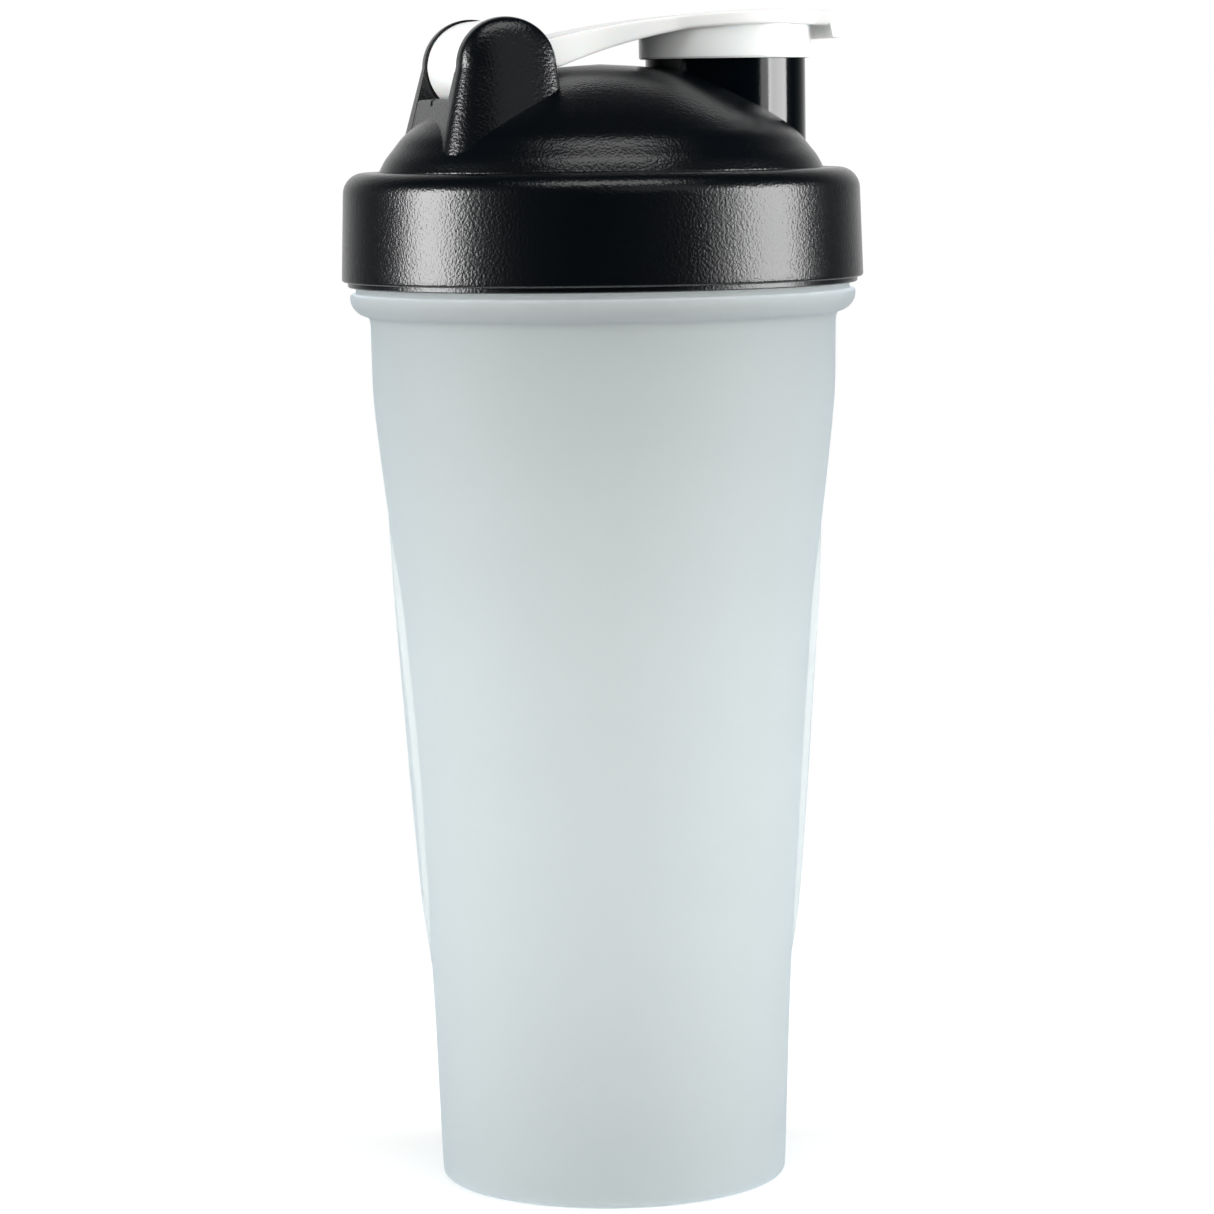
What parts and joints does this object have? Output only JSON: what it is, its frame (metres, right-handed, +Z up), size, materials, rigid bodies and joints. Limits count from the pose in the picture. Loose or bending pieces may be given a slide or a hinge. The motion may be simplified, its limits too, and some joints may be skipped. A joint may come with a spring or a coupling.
{
  "type": "protein shaker bottle",
  "caption": "Tapered shaker bottle with a screw lid, a round pouring spout, a hinged flip cap and a loose wire whisk ball inside the jar.",
  "frame": {"origin": "centre of the foot ring, on the jar's axis", "axes": "+Z up along the jar's axis, +X from the axis to the spout, the cap's hinge at -X, +Y to complete a right-handed frame"},
  "size_m": [0.0988, 0.0988, 0.2224],
  "materials": {
    "jar": "frosted translucent polypropylene",
    "lid": "black polypropylene, fine moulded texture, spout polished",
    "cap": "white polypropylene, smooth",
    "seal": "silicone, matt",
    "wire": "drawn stainless wire"
  },
  "bodies": {
    "jar": {"jar": "jar"},
    "seal": {"lid_seal": "seal"},
    "lid": {"lid": "lid"},
    "cap": {"flip_cap": "cap"},
    "ball": {"whisk_ball": "wire"}
  },
  "joints": [
    {"name": "lid_rise", "type": "slide", "parent": "jar", "child": "seal", "axis": [0, 0, 1], "range_m": [0, 0.024]},
    {"name": "lid_turn", "type": "hinge", "parent": "seal", "child": "lid", "pos_m": [0, 0, 0.181], "axis": [0, 0, 1], "range_deg": [0, 720]},
    {"name": "cap_flip", "type": "hinge", "parent": "lid", "child": "cap", "pos_m": [-0.0218, 0, 0.2124], "axis": [0, -1, 0], "range_deg": [0, 180]},
    {"name": "ball_float", "type": "slide", "parent": "jar", "child": "ball", "axis": [0, 0, 1], "range_m": [0, 0.14]}
  ],
  "couplings": [
    {"joint": "lid_rise", "follows": "lid_turn", "m_per_rad": 0.0019099}
  ]
}
